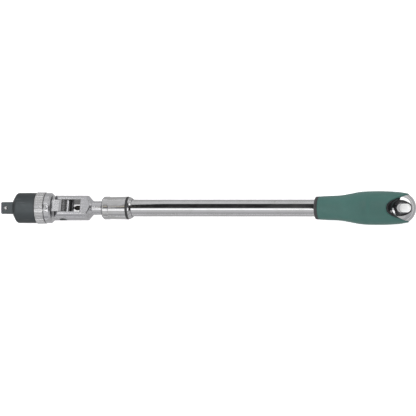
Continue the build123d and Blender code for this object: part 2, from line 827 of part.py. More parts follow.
grip_outer = grip_form(0)
grip_inner = grip_form(grip_wall)

with BuildPart() as grip_sleeve:
    add(grip_outer)
    add(grip_inner, mode=Mode.SUBTRACT)
    add(cut_region(0), mode=Mode.SUBTRACT)
finish(grip_sleeve, "grip_sleeve", green_rubber)

with BuildPart() as handle_core:
    add(grip_inner)
    add(cut_region(core_lip), mode=Mode.SUBTRACT)
    bore = disc(tube_radius + press_seat, cross_plane(nose_rear))
    extrude(bore, amount=grip_rear - nose_rear, mode=Mode.SUBTRACT)
finish(handle_core, "handle_core", black_plastic)

with BuildPart() as tube_end_plug:
    plug = disc(tube_bore - press_seat, cross_plane(tube_rear - plug_length))
    extrude(plug, amount=plug_length)
    with BuildSketch(cross_plane(tube_rear)):
        Rectangle(tang_width, tang_thickness)
    extrude(amount=tang_length)
    pin_bore = disc(cap_pin_radius, top_plane(), (cap_pin_station, -cap_pin_offset))
    extrude(pin_bore, amount=tang_thickness, both=True, mode=Mode.SUBTRACT)
finish(tube_end_plug, "tube_end_plug", steel)

with BuildPart() as end_cap:
    # flattened dome, squashed to its thickness about the bar's axis
    ball = Sphere(cap_radius, mode=Mode.PRIVATE)
    dome = scale(ball, by=(1, 1, cap_flatness), mode=Mode.PRIVATE)
    add(Pos(tip_x + cap_centre, 0, axis_height) * dome)
    add(cut_region(core_lip + press_seat), mode=Mode.INTERSECT)
    with BuildSketch(top_plane()):
        with Locations((hole_centre, 0)):
            SlotOverall(hole_length, hole_width)
    extrude(amount=cap_radius, both=True, mode=Mode.SUBTRACT)
    # flared mouths at both ends of the hole
    for up in (1, -1):
        mouth = (tip_x + hole_centre, 0, axis_height + up * flare_start)
        with BuildSketch(Plane(mouth, z_dir=(0, 0, up))):
            SlotOverall(hole_length, hole_width)
        extrude(amount=cap_radius, taper=-flare_slope, mode=Mode.SUBTRACT)
    with BuildSketch(cross_plane(tube_rear)):
        Rectangle(tang_width + 2 * press_seat, tang_thickness + 2 * press_seat)
    extrude(amount=tang_length + press_seat, mode=Mode.SUBTRACT)
    cap_bore = disc(cap_pin_radius, top_plane(), (cap_pin_station, -cap_pin_offset))
    extrude(cap_bore, amount=cap_radius, both=True, mode=Mode.SUBTRACT)
finish(end_cap, "end_cap", chrome)

with BuildPart() as cap_pin:
    reach = sqrt(cap_radius ** 2 - (cap_centre - cap_pin_station) ** 2 - cap_pin_offset ** 2)
    pin_half_length = reach * cap_flatness + 0.1
    pin = disc(cap_pin_radius - press_seat, top_plane(), (cap_pin_station, -cap_pin_offset))
    extrude(pin, amount=pin_half_length, both=True)
    fillet(cap_pin.edges().filter_by(GeomType.CIRCLE), 0.5)
finish(cap_pin, "cap_pin", chrome)

print(f"overall {overall_length:.1f} mm, axis {axis_height:.2f} mm up, pivot at {pivot:.1f} mm")
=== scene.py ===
# %% [markdown]
# # A telescoping flex-head bar
#
# This lesson dresses a bar whose working parts already exist. The frame brings in each part
# at its real size and place, and the lesson adds the finish: chrome that shows its polish,
# a blackened drum, a moulded rubber grip, and new meshes for the pieces whose feel comes
# from soft edges and fine relief. All lengths are metres. The bar lies along X with its
# drive square at the low end, and its own axis is a little above the table.

# %% Load the frame
import json
import math

import bmesh
import bpy
from mathutils import Matrix, Vector


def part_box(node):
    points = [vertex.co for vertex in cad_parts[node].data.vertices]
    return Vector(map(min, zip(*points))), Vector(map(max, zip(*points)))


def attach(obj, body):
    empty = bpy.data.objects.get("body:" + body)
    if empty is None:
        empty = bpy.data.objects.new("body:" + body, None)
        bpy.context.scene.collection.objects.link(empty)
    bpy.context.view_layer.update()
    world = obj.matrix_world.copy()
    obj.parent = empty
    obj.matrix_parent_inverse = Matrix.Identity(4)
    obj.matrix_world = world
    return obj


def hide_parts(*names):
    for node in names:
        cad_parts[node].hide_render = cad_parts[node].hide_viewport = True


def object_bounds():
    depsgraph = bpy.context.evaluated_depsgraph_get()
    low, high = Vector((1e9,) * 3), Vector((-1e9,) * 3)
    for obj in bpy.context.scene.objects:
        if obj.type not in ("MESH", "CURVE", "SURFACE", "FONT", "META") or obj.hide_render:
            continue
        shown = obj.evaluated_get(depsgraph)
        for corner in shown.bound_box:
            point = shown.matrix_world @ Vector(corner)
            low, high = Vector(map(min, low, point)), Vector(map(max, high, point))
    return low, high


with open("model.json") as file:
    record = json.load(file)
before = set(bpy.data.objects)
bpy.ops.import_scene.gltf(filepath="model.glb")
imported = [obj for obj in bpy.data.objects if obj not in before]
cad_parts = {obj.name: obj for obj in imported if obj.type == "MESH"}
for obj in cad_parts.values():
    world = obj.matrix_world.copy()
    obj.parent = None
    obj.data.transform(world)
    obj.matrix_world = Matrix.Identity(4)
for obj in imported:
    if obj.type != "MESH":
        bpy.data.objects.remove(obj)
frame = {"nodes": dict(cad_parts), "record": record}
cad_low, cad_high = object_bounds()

MM = 0.001
bar_length = cad_high.x - cad_low.x
tube_low, tube_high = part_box("outer_tube")
axis_height = (tube_low.z + tube_high.z) / 2
tube_radius = (tube_high.z - tube_low.z) / 2
print(f"bar {bar_length / MM:.1f} mm long, its axis {axis_height / MM:.1f} mm up")
print(f"tube radius {tube_radius / MM:.2f} mm, {len(frame['nodes'])} parts")

# %% [markdown]
# ## How a new piece is started and finished
#
# An operator changes whatever is selected, and the loader leaves every part selected. So each
# piece starts from a clean selection. When it is shaped, one helper welds its doubled points,
# smooths it, names it and hangs it on the body that it moves with.


# %% Helpers for new pieces
def clear_selection():
    """Nothing selected, and object mode."""
    if bpy.context.object and bpy.context.object.mode != "OBJECT":
        bpy.ops.object.mode_set(mode="OBJECT")
    bpy.ops.object.select_all(action="DESELECT")


def apply_modifier(piece, kind, **settings):
    """Add one modifier, set it up and apply it."""
    modifier = piece.modifiers.new(kind.title(), kind)
    for name, value in settings.items():
        setattr(modifier, name, value)
    bpy.context.view_layer.objects.active = piece
    bpy.ops.object.modifier_apply(modifier=modifier.name)


def complete(piece, name, body, stands_for=(), smooth_angle=35):
    """Weld and smooth a shaped piece, name it, and hang it on its body."""
    clear_selection()
    piece.select_set(True)
    bpy.context.view_layer.objects.active = piece
    bpy.ops.object.mode_set(mode="EDIT")
    bpy.ops.mesh.select_all(action="SELECT")
    bpy.ops.mesh.remove_doubles(threshold=0.001 * MM)
    bpy.ops.object.mode_set(mode="OBJECT")
    bpy.ops.object.transform_apply(location=True, rotation=True, scale=True)
    bpy.ops.object.shade_smooth_by_angle(angle=math.radians(smooth_angle))
    piece.name = name
    piece.data.name = name
    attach(piece, body)
    if stands_for:
        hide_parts(*stands_for)
    print(f"{name}: {len(piece.data.polygons)} faces, rides on {body}")
    return piece


# %% [markdown]
# ## The camera
#
# The bar is seen almost from above, from a little towards the handle, so that every shoulder
# that faces the handle shows as a thin crescent. A long lens keeps both ends the same size.

# %% Camera
LENS = 800
SENSOR = 36
LEAN = math.radians(15)
MARGIN = 1.006
seen_length = bar_length * math.cos(LEAN) * MARGIN
distance = seen_length * LENS / SENSOR
middle = Vector(((cad_low.x + cad_high.x) / 2, (cad_low.y + cad_high.y) / 2, axis_height))
back = Vector((math.sin(LEAN), 0, math.cos(LEAN)))
camera_data = bpy.data.cameras.new("camera")
camera_data.lens = LENS
camera_data.sensor_width = SENSOR
camera_data.clip_start = 0.05
camera_data.clip_end = 40
camera = bpy.data.objects.new("camera", camera_data)
bpy.context.scene.collection.objects.link(camera)
right = Vector((math.cos(LEAN), 0, -math.sin(LEAN)))
up = Vector((0, 1, 0))
turn = Matrix((right, up, back)).transposed()
camera.matrix_world = Matrix.Translation(middle + back * distance) @ turn.to_4x4()
bpy.context.scene.camera = camera
print(f"camera {distance:.2f} m away, {math.degrees(LEAN):.0f} degrees off vertical")

# %% [markdown]
# ## Table and light
#
# Chrome has hardly any look of its own: it shows the room. A studio gives polished metal its
# shape with a big pale surround, a bright strip and dark cards, because the hard line between
# light and dark draws the roundness of a tube. A last card, just over the table, keeps the
# edges of the metal apart from the pale floor. The cards and the strip are hidden from the
# camera, so they are seen only in the metal.


# %% Table
clear_selection()
bpy.ops.mesh.primitive_plane_add(size=6, location=(middle.x, middle.y, 0))
table = bpy.context.object
table.name = "table"
table_paint = bpy.data.materials.new("table_paint")
table_paint.use_nodes = True
table_shader = table_paint.node_tree.nodes["Principled BSDF"]
table_shader.inputs["Base Color"].default_value = (0.93, 0.93, 0.93, 1)
table_shader.inputs["Roughness"].default_value = 0.9
table_shader.inputs["Specular IOR Level"].default_value = 0.1
table_shader.inputs["Emission Color"].default_value = (1, 1, 1, 1)
table_shader.inputs["Emission Strength"].default_value = 0.45
table.data.materials.append(table_paint)


# %% A studio card that only the metal sees
def studio_card(name, low, high, height, brightness, warmth=0.0):
    """A flat card over the bar: low and high are its corners across the table."""
    clear_selection()
    bpy.ops.mesh.primitive_plane_add(size=1, location=(0, 0, height))
    card = bpy.context.object
    card.name = name
    card.scale = (high[0] - low[0], high[1] - low[1], 1)
    card.location = ((low[0] + high[0]) / 2, (low[1] + high[1]) / 2, height)
    paint = bpy.data.materials.new(name)
    paint.use_nodes = True
    paint.node_tree.nodes.clear()
    glow = paint.node_tree.nodes.new("ShaderNodeEmission")
    glow.inputs["Color"].default_value = (
        brightness,
        brightness * (1 - 0.25 * warmth),
        brightness * (1 - 0.75 * warmth),
        1,
    )
    out = paint.node_tree.nodes.new("ShaderNodeOutputMaterial")
    paint.node_tree.links.new(glow.outputs[0], out.inputs["Surface"])
    card.data.materials.append(paint)
    card.visible_camera = False
    card.visible_diffuse = False
    card.visible_shadow = False
    return card


# The camera leans, so a card shows in the metal a little beyond where it hangs: LAG is how
# far a card is set towards the drive end for its picture to fall where it should.
CARD_HEIGHT = 0.35
CAP_CARD_HEIGHT = 0.30
LOW_CARD_HEIGHT = 0.0006
CARD_OVERHANG = 0.3
LAG = CARD_HEIGHT * math.tan(LEAN)
collar_low, collar_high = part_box("lock_collar")
handle_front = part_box("grip_front_ring")[0].x
studio_card("black_card", (collar_low.x - LAG, 0.0), (handle_front + 0.06, 0.50), CARD_HEIGHT, 0.02)
# A low card keeps the pale table out of the metal, so its edges stay clear of the floor.
studio_card(
    "low_card",
    (cad_low.x - CARD_OVERHANG, -0.40),
    (cad_high.x + CARD_OVERHANG, 0.40),
    LOW_CARD_HEIGHT,
    0.60,
)
studio_card(
    "cap_card", (handle_front + 0.02 - LAG, -0.25), (handle_front + 0.90, 0.25), CAP_CARD_HEIGHT, 0.03
)
studio_card("cap_glint", (handle_front + 0.06, 0.26), (handle_front + 0.70, 0.55), CAP_CARD_HEIGHT, 2.2)
studio_card(
    "warm_card", (collar_low.x + 0.009 - LAG, 0.06), (collar_high.x - LAG, 0.12), CARD_HEIGHT - 0.01, 1.1, 0.5
)
studio_card("light_strip", (cad_low.x - CARD_OVERHANG, -0.17), (cad_high.x + 0.2, -0.07), CARD_HEIGHT, 1.75)
studio_card("grey_card", (cad_low.x - CARD_OVERHANG, -0.62), (cad_high.x + 0.2, -0.17), CARD_HEIGHT, 0.72)

# %% Surround and lamps
world = bpy.data.worlds.new("studio")
bpy.context.scene.world = world
world.use_nodes = True
room = world.node_tree
room_direction = room.nodes.new("ShaderNodeTexCoord")
room_split = room.nodes.new("ShaderNodeSeparateXYZ")
room_ramp = room.nodes.new("ShaderNodeValToRGB")
room_map = room.nodes.new("ShaderNodeMapRange")
room_map.inputs["From Min"].default_value = -1.0
room.links.new(room_direction.outputs["Generated"], room_split.inputs[0])
room.links.new(room_split.outputs["Y"], room_map.inputs["Value"])
room.links.new(room_map.outputs[0], room_ramp.inputs[0])
room.links.new(room_ramp.outputs[0], room.nodes["Background"].inputs["Color"])
room_ramp.color_ramp.elements[0].color = (0.50, 0.50, 0.51, 1)
room_ramp.color_ramp.elements[1].color = (0.80, 0.80, 0.80, 1)
room.nodes["Background"].inputs["Strength"].default_value = 1.0
bpy.context.scene.view_settings.view_transform = "Standard"


def soft_lamp(name, place, size, power):
    """A square lamp that looks at the middle of the bar."""
    lamp_data = bpy.data.lights.new(name, "AREA")
    lamp_data.size = size
    lamp_data.energy = power
    lamp = bpy.data.objects.new(name, lamp_data)
    bpy.context.scene.collection.objects.link(lamp)
    lamp.location = place
    lamp.rotation_mode = "QUATERNION"
    lamp.rotation_quaternion = (Vector(place) - middle).to_track_quat("Z", "Y")
    return lamp


soft_lamp("high_lamp", (0.1, 0.5, 1.4), 1.2, 14)
soft_lamp("near_lamp", (-0.2, -0.9, 1.1), 1.0, 8)

# %% [markdown]
# ## Node helpers and shared effects
#
# Four effects turn up on more than one finish: rubbed edges, fine grain, the marks of
# handling, and long polishing lines. Each is built once as a node group and given its own
# numbers in each finish. A group only gives out masks and heights. The shader itself stays
# in the material, where its plain numbers can be read.


# %% Node helpers
def put(tree, kind, **values):
    """Add a node; values are its own settings, or the numbers on its sockets."""
    node = tree.nodes.new(kind)
    for name, value in values.items():
        socket = name.replace("_", " ")
        if socket in node.inputs and not hasattr(node, name):
            node.inputs[socket].default_value = value
        else:
            setattr(node, name, value)
    return node


def new_group(name, numbers, gives):
    """A shader group with named number inputs and named outputs."""
    group = bpy.data.node_groups.new(name, "ShaderNodeTree")
    for label, value in numbers:
        socket = group.interface.new_socket(label, in_out="INPUT", socket_type="NodeSocketFloat")
        socket.default_value = value
    for label in gives:
        group.interface.new_socket(label, in_out="OUTPUT", socket_type="NodeSocketFloat")
    return group, group.nodes.new("NodeGroupInput"), group.nodes.new("NodeGroupOutput")


def use_group(tree, group, **numbers):
    """Place a group in a material with its own numbers."""
    node = tree.nodes.new("ShaderNodeGroup")
    node.node_tree = group
    for label, value in numbers.items():
        node.inputs[label].default_value = value
    return node


def maths(tree, operation, first, second, clamp=False):
    """A math node between two outputs or numbers."""
    node = tree.nodes.new("ShaderNodeMath")
    node.operation = operation
    node.use_clamp = clamp
    for socket, value in zip(node.inputs, (first, second)):
        if isinstance(value, (int, float)):
            socket.default_value = value
        else:
            tree.links.new(value, socket)
    return node.outputs[0]


# %% Rubbed edges
# A bevelled normal leans away from the true one only near an edge, so the angle between
# the two is a mask of the edges. Noise breaks it up, as hands and sockets do.
edge_group, edge_in, edge_out = new_group(
    "rubbed_edges", [("Width", 0.4 * MM), ("Breakup", 900.0), ("Amount", 1.0)], ["Mask"]
)
edge_bevel = put(edge_group, "ShaderNodeBevel", samples=4)
edge_place = put(edge_group, "ShaderNodeTexCoord")
edge_true = put(edge_group, "ShaderNodeNewGeometry")
edge_dot = put(edge_group, "ShaderNodeVectorMath", operation="DOT_PRODUCT")
edge_noise = put(edge_group, "ShaderNodeTexNoise", Detail=4.0, Roughness=0.65)
edge_group.links.new(edge_in.outputs["Width"], edge_bevel.inputs["Radius"])
edge_group.links.new(edge_bevel.outputs[0], edge_dot.inputs[0])
edge_group.links.new(edge_true.outputs["Normal"], edge_dot.inputs[1])
edge_group.links.new(edge_place.outputs["Object"], edge_noise.inputs["Vector"])
edge_group.links.new(edge_in.outputs["Breakup"], edge_noise.inputs["Scale"])
edge_lean = maths(edge_group, "SUBTRACT", 1.0, edge_dot.outputs["Value"], clamp=True)
edge_strong = maths(edge_group, "MULTIPLY", edge_lean, 9.0)
edge_torn = maths(edge_group, "MULTIPLY", edge_strong, edge_noise.outputs["Fac"])
edge_group.links.new(
    maths(edge_group, "MULTIPLY", edge_torn, edge_in.outputs["Amount"], clamp=True), edge_out.inputs["Mask"]
)

# %% Fine grain
# Two sizes of noise: the pits themselves, and a slow drift in how deep they are.
grain_group, grain_in, grain_out = new_group(
    "fine_grain", [("Scale", 2500.0), ("Drift Scale", 60.0)], ["Height", "Drift"]
)
grain_place = put(grain_group, "ShaderNodeTexCoord")
grain_fine = put(grain_group, "ShaderNodeTexNoise", Detail=3.0, Roughness=0.6)
grain_slow = put(grain_group, "ShaderNodeTexNoise", Detail=5.0, Roughness=0.55)
for grain_noise, grain_size in ((grain_fine, "Scale"), (grain_slow, "Drift Scale")):
    grain_group.links.new(grain_place.outputs["Object"], grain_noise.inputs["Vector"])
    grain_group.links.new(grain_in.outputs[grain_size], grain_noise.inputs["Scale"])
grain_group.links.new(grain_fine.outputs["Fac"], grain_out.inputs["Height"])
grain_group.links.new(grain_slow.outputs["Fac"], grain_out.inputs["Drift"])

# %% Handling marks
# Soft smears from oily hands, and a few fine scratches that run nearly along the bar.
marks_group, marks_in, marks_out = new_group(
    "handling_marks", [("Smear Scale", 45.0), ("Scratch Scale", 900.0)], ["Smear", "Scratch"]
)
marks_place = put(marks_group, "ShaderNodeTexCoord")
marks_stretch = put(marks_group, "ShaderNodeMapping")
marks_stretch.inputs["Scale"].default_value = (0.05, 1.0, 1.0)
marks_stretch.inputs["Rotation"].default_value = (0.0, 0.06, 0.09)
marks_smear = put(marks_group, "ShaderNodeTexNoise", Detail=6.0, Roughness=0.6, Distortion=0.8)
marks_scratch = put(marks_group, "ShaderNodeTexNoise", Detail=2.0, Roughness=0.5)
marks_smear_ramp = put(marks_group, "ShaderNodeMapRange")
marks_smear_ramp.inputs["From Min"].default_value = 0.42
marks_smear_ramp.inputs["From Max"].default_value = 0.72
marks_scratch_ramp = put(marks_group, "ShaderNodeMapRange")
marks_scratch_ramp.inputs["From Min"].default_value = 0.66
marks_scratch_ramp.inputs["From Max"].default_value = 0.74
marks_group.links.new(marks_place.outputs["Object"], marks_smear.inputs["Vector"])
marks_group.links.new(marks_place.outputs["Object"], marks_stretch.inputs["Vector"])
marks_group.links.new(marks_stretch.outputs[0], marks_scratch.inputs["Vector"])
marks_group.links.new(marks_in.outputs["Smear Scale"], marks_smear.inputs["Scale"])
marks_group.links.new(marks_in.outputs["Scratch Scale"], marks_scratch.inputs["Scale"])
marks_group.links.new(marks_smear.outputs["Fac"], marks_smear_ramp.inputs["Value"])
marks_group.links.new(marks_scratch.outputs["Fac"], marks_scratch_ramp.inputs["Value"])
marks_group.links.new(marks_smear_ramp.outputs[0], marks_out.inputs["Smear"])
marks_group.links.new(marks_scratch_ramp.outputs[0], marks_out.inputs["Scratch"])

# %% Lathe lines
# Cutting tools leave fine rings round a turned piece: bands that change only along the bar.
lathe_group, lathe_in, lathe_out = new_group("lathe_lines", [("Scale", 3000.0)], ["Height"])
lathe_place = put(lathe_group, "ShaderNodeTexCoord")
lathe_stretch = put(lathe_group, "ShaderNodeMapping")
lathe_stretch.inputs["Scale"].default_value = (1.0, 0.02, 0.02)
lathe_noise = put(lathe_group, "ShaderNodeTexNoise", Detail=2.0, Roughness=0.6)
lathe_group.links.new(lathe_place.outputs["Object"], lathe_stretch.inputs["Vector"])
lathe_group.links.new(lathe_stretch.outputs[0], lathe_noise.inputs["Vector"])
lathe_group.links.new(lathe_in.outputs["Scale"], lathe_noise.inputs["Scale"])
lathe_group.links.new(lathe_noise.outputs["Fac"], lathe_out.inputs["Height"])
print("shared effects:", [group.name for group in bpy.data.node_groups])

# %% [markdown]
# ## Finishes
#
# Every finish is a Principled shader with three things laid over its plain colour: a change
# of colour where it is worn or grubby, or painted shade in the hinge's recesses, a roughness
# that wanders, and a very low relief.


# %% One way to build a finish
def blend_colour(tree, mask, plain, worn):
    """Mix two colours by a mask."""
    mix = tree.nodes.new("ShaderNodeMix")
    mix.data_type = "RGBA"
    mix.inputs["A"].default_value = (*plain, 1)
    mix.inputs["B"].default_value = (*worn, 1)
    tree.links.new(mask, mix.inputs["Factor"])
    return mix.outputs["Result"]


def spread(tree, value, low, high):
    """Map a 0 to 1 value on to a range."""
    node = tree.nodes.new("ShaderNodeMapRange")
    node.inputs["To Min"].default_value = low
    node.inputs["To Max"].default_value = high
    tree.links.new(value, node.inputs["Value"])
    return node.outputs[0]


def relief(tree, height, depth, strength=1.0, under=None):
    """A bump of a given depth, in metres, over another one."""
    bump = tree.nodes.new("ShaderNodeBump")
    bump.inputs["Distance"].default_value = depth
    bump.inputs["Strength"].default_value = strength
    tree.links.new(height, bump.inputs["Height"])
    if under is not None:
        tree.links.new(under, bump.inputs["Normal"])
    return bump.outputs[0]


def start_finish(name, metallic, **sockets):
    """A new material with its Principled shader's plain numbers set on its own sockets."""
    paint = bpy.data.materials.new(name)
    paint.use_nodes = True
    shader = paint.node_tree.nodes["Principled BSDF"]
    shader.inputs["Metallic"].default_value = metallic
    for label, value in sockets.items():
        shader.inputs[label.replace("_", " ")].default_value = value
    return paint, paint.node_tree, shader


# %% Chrome, polished and satin
def chrome_finish(
    name, plain, grubby, rough_low, rough_high, peel_scale, peel_depth, lines=0.0, recess_shade=None
):
    """Plated steel: smears change its roughness, and the plate has a faint orange peel.

    recess_shade, if given, makes a mask in the material's tree of where painted shade darkens the hinge's
    recesses.
    """
    paint, tree, shader = start_finish(name, 1.0)
    marks = use_group(tree, marks_group)
    peel = use_group(tree, grain_group, **{"Scale": peel_scale})
    grime = maths(tree, "MULTIPLY", marks.outputs["Smear"], 0.6)
    plate = blend_colour(tree, grime, plain, grubby)
    wander = maths(tree, "ADD", marks.outputs["Smear"], marks.outputs["Scratch"], clamp=True)
    # Where the mask is, a near-black, less metallic colour: painted shade in the hinge's recesses.
    if recess_shade:
        recess_shade_mask = recess_shade(tree)
        over = put(tree, "ShaderNodeMix", data_type="RGBA")
        over.inputs["B"].default_value = (0.018, 0.017, 0.015, 1)
        tree.links.new(plate, over.inputs["A"])
        tree.links.new(recess_shade_mask, over.inputs["Factor"])
        plate = over.outputs["Result"]
        tree.links.new(spread(tree, recess_shade_mask, 1.0, 0.15), shader.inputs["Metallic"])
    tree.links.new(plate, shader.inputs["Base Color"])
    tree.links.new(spread(tree, wander, rough_low, rough_high), shader.inputs["Roughness"])
    surface = relief(tree, peel.outputs["Height"], peel_depth)
    if lines:
        turned = use_group(tree, lathe_group)
        surface = relief(tree, turned.outputs["Height"], lines, under=surface)
    tree.links.new(surface, shader.inputs["Normal"])
    return paint


# %% Painted shade in the hinge's recesses
pivot_joint = next(j for j in frame["record"]["behaviour"]["joints"] if j["name"] == "head_flex")
pivot_place = Vector(pivot_joint["pos_m"])
pivot_axis = Vector(pivot_joint["axis"]).normalized()
TONGUE_HALF = 6.35 * MM
SLOT_HALF = TONGUE_HALF + 0.4 * MM
NOTCH_CREST = 10.2 * MM
NOTCH_FLOOR = 9.1 * MM
NOTCH_RIM = 0.4 * MM
SLOT_REACH = 19.8 * MM


def from_pivot(tree):
    """Where a point is from the pivot: along the pin, and along the bar."""
    place = put(tree, "ShaderNodeTexCoord")
    shift = put(tree, "ShaderNodeVectorMath", operation="SUBTRACT")
    shift.inputs[1].default_value = pivot_place
    tree.links.new(place.outputs["Object"], shift.inputs[0])
    along_pin = put(tree, "ShaderNodeVectorMath", operation="DOT_PRODUCT")
    along_pin.inputs[1].default_value = pivot_axis
    tree.links.new(shift.outputs[0], along_pin.inputs[0])
    split = put(tree, "ShaderNodeSeparateXYZ")
    tree.links.new(shift.outputs[0], split.inputs[0])
    return shift.outputs[0], along_pin.outputs["Value"], split.outputs["X"]


def slot_painted_shade(tree):
    """Painted shade on the inside walls and the bottom of the fork's slot."""
    _, along_pin, along_bar = from_pivot(tree)
    between = maths(tree, "LESS_THAN", maths(tree, "ABSOLUTE", along_pin, 0.0), SLOT_HALF)
    ahead = maths(tree, "LESS_THAN", along_bar, SLOT_REACH)
    return maths(tree, "MULTIPLY", maths(tree, "MULTIPLY", between, ahead), 0.93)


def notch_painted_shade(tree):
    """Painted shade in the notches of the tongue and on its two rubbing sides."""
    place, along_pin, along_bar = from_pivot(tree)
    length = put(tree, "ShaderNodeVectorMath", operation="LENGTH")
    tree.links.new(place, length.inputs[0])
    square = maths(tree, "MULTIPLY", length.outputs["Value"], length.outputs["Value"])
    beside = maths(tree, "MULTIPLY", along_pin, along_pin)
    reach = maths(tree, "SQRT", maths(tree, "SUBTRACT", square, beside), 0.0)
    fade = put(tree, "ShaderNodeMapRange")
    fade.inputs["From Min"].default_value = NOTCH_CREST - NOTCH_RIM
    fade.inputs["From Max"].default_value = NOTCH_FLOOR
    tree.links.new(reach, fade.inputs["Value"])
    between = maths(tree, "LESS_THAN", maths(tree, "ABSOLUTE", along_pin, 0.0), TONGUE_HALF + 0.1 * MM)
    return maths(tree, "MULTIPLY", maths(tree, "MULTIPLY", fade.outputs[0], between), 0.9)


# %% The three chromes
polished_chrome = chrome_finish(
    "polished_chrome", (0.60, 0.60, 0.61), (0.51, 0.51, 0.50), 0.05, 0.13, 350.0, 0.004 * MM
)
turned_chrome = chrome_finish(
    "turned_chrome", (0.58, 0.58, 0.59), (0.49, 0.485, 0.475), 0.09, 0.20, 500.0, 0.004 * MM, 0.004 * MM
)
# The fork's and the tongue's chrome get painted shade in the slot and the notches.
forged_chrome = {
    part: chrome_finish(
        f"forged_chrome_{part}",
        (0.56, 0.56, 0.58),
        (0.45, 0.45, 0.455),
        0.14,
        0.30,
        420.0,
        0.03 * MM,
        recess_shade=recess_shade,
    )
    for part, recess_shade in (("fork", slot_painted_shade), ("tongue", notch_painted_shade))
}


# %% Ground steel, bronze and blackened steel
def worn_metal(name, plain, worn, rough_low, rough_high, grain_scale, grain_depth, edge_width, edge_amount):
    """Bare or blackened metal: grain all over, and brighter metal where its edges rub."""
    paint, tree, shader = start_finish(name, 1.0)
    grain = use_group(tree, grain_group, **{"Scale": grain_scale})
    edges = use_group(tree, edge_group, **{"Width": edge_width, "Amount": edge_amount})
    marks = use_group(tree, marks_group, **{"Smear Scale": 120.0})
    scuffed = maths(tree, "MULTIPLY", marks.outputs["Scratch"], 0.25)
    bright = maths(tree, "MAXIMUM", edges.outputs["Mask"], scuffed)
    drift = blend_colour(tree, grain.outputs["Drift"], plain, [0.72 * c for c in plain])
    mix = tree.nodes.new("ShaderNodeMix")
    mix.data_type = "RGBA"
    mix.inputs["B"].default_value = (*worn, 1)
    tree.links.new(drift, mix.inputs["A"])
    tree.links.new(bright, mix.inputs["Factor"])
    tree.links.new(mix.outputs["Result"], shader.inputs["Base Color"])
    wander = maths(tree, "SUBTRACT", grain.outputs["Drift"], bright, clamp=True)
    tree.links.new(spread(tree, wander, rough_low, rough_high), shader.inputs["Roughness"])
    tree.links.new(relief(tree, grain.outputs["Height"], grain_depth), shader.inputs["Normal"])
    return paint


black_oxide = worn_metal(
    "blackened_steel", (0.085, 0.095, 0.1), (0.45, 0.45, 0.46), 0.36, 0.62, 5200.0, 0.02 * MM, 0.35 * MM, 0.55
)
ground_steel = worn_metal(
    "ground_steel", (0.55, 0.55, 0.57), (0.75, 0.75, 0.76), 0.22, 0.42, 3000.0, 0.01 * MM, 0.2 * MM, 0.5
)
# The plunger's near-black colour is painted shade: it sits in the shaded bottom of the fork's slot.
plunger_shade_steel = worn_metal(
    "plunger_shade_steel", (0.045, 0.042, 0.038), (0.22, 0.21, 0.19), 0.34, 0.55, 2600.0, 0.02 * MM, 0.15 * MM, 0.4
)
# The cap pin is satin steel made paler than steel: partly its own colour, partly a painted highlight so it
# shows as a bright dot.
satin_highlight_steel = worn_metal(
    "satin_highlight_steel", (0.82, 0.82, 0.83), (0.92, 0.92, 0.92), 0.28, 0.42, 3000.0, 0.01 * MM, 0.2 * MM, 0.5
)
oiled_bronze = worn_metal(
    "oiled_bronze", (0.60, 0.42, 0.20), (0.80, 0.62, 0.36), 0.25, 0.45, 2400.0, 0.01 * MM, 0.2 * MM, 0.5
)


# %% Rubber and plastic
def moulded_finish(name, plain, pale, rough_low, rough_high, grain_scale, grain_depth, sheen):
    """Moulded skin: fine stipple, paler where it is rubbed, and slightly cloudy."""
    paint, tree, shader = start_finish(name, 0.0, Sheen_Weight=sheen, Sheen_Roughness=0.5)
    grain = use_group(tree, grain_group, **{"Scale": grain_scale, "Drift Scale": 38.0})
    edges = use_group(tree, edge_group, **{"Width": 0.5 * MM, "Amount": 0.35})
    marks = use_group(tree, marks_group, **{"Smear Scale": 30.0, "Scratch Scale": 500.0})
    rubbed = maths(tree, "MULTIPLY", marks.outputs["Smear"], 0.22)
    pitted = maths(tree, "MULTIPLY", grain.outputs["Height"], 0.25)
    mottled = maths(tree, "ADD", rubbed, pitted)
    mask = maths(tree, "MAXIMUM", mottled, edges.outputs["Mask"], clamp=True)
    tree.links.new(blend_colour(tree, mask, plain, pale), shader.inputs["Base Color"])
    tree.links.new(spread(tree, grain.outputs["Drift"], rough_low, rough_high), shader.inputs["Roughness"])
    tree.links.new(relief(tree, grain.outputs["Height"], grain_depth), shader.inputs["Normal"])
    return paint


green_rubber = moulded_finish(
    "grip_rubber_skin", (0.016, 0.082, 0.068), (0.070, 0.172, 0.158), 0.40, 0.58, 2600.0, 0.05 * MM, 0.04
)
black_plastic = moulded_finish(
    "moulded_plastic", (0.022, 0.022, 0.024), (0.07, 0.07, 0.075), 0.38, 0.55, 2200.0, 0.03 * MM, 0.0
)
black_rubber = moulded_finish(
    "seal_rubber", (0.018, 0.018, 0.019), (0.06, 0.06, 0.062), 0.45, 0.60, 1500.0, 0.01 * MM, 0.0
)
print("finishes:", [paint.name for paint in bpy.data.materials if paint.use_nodes])

# %% [markdown]
# ## The rubber grip
#
# The grip is a thick sleeve of soft rubber moulded over a hard core. It swells under the
# palm, thins at the rear, and is cut away in a deep U where the end cap shows. The plain
# sleeve that came in has the right size but sharp rims. It could be rounded by sculpting,
# but a sleeve is easier to make the way it is drawn: one ring of points is pulled along the
# bar and resized as it goes. The rows are then slid until the last one lies on the U, so the
# mesh follows the cut, and a wall and rounded rims are added at the end.

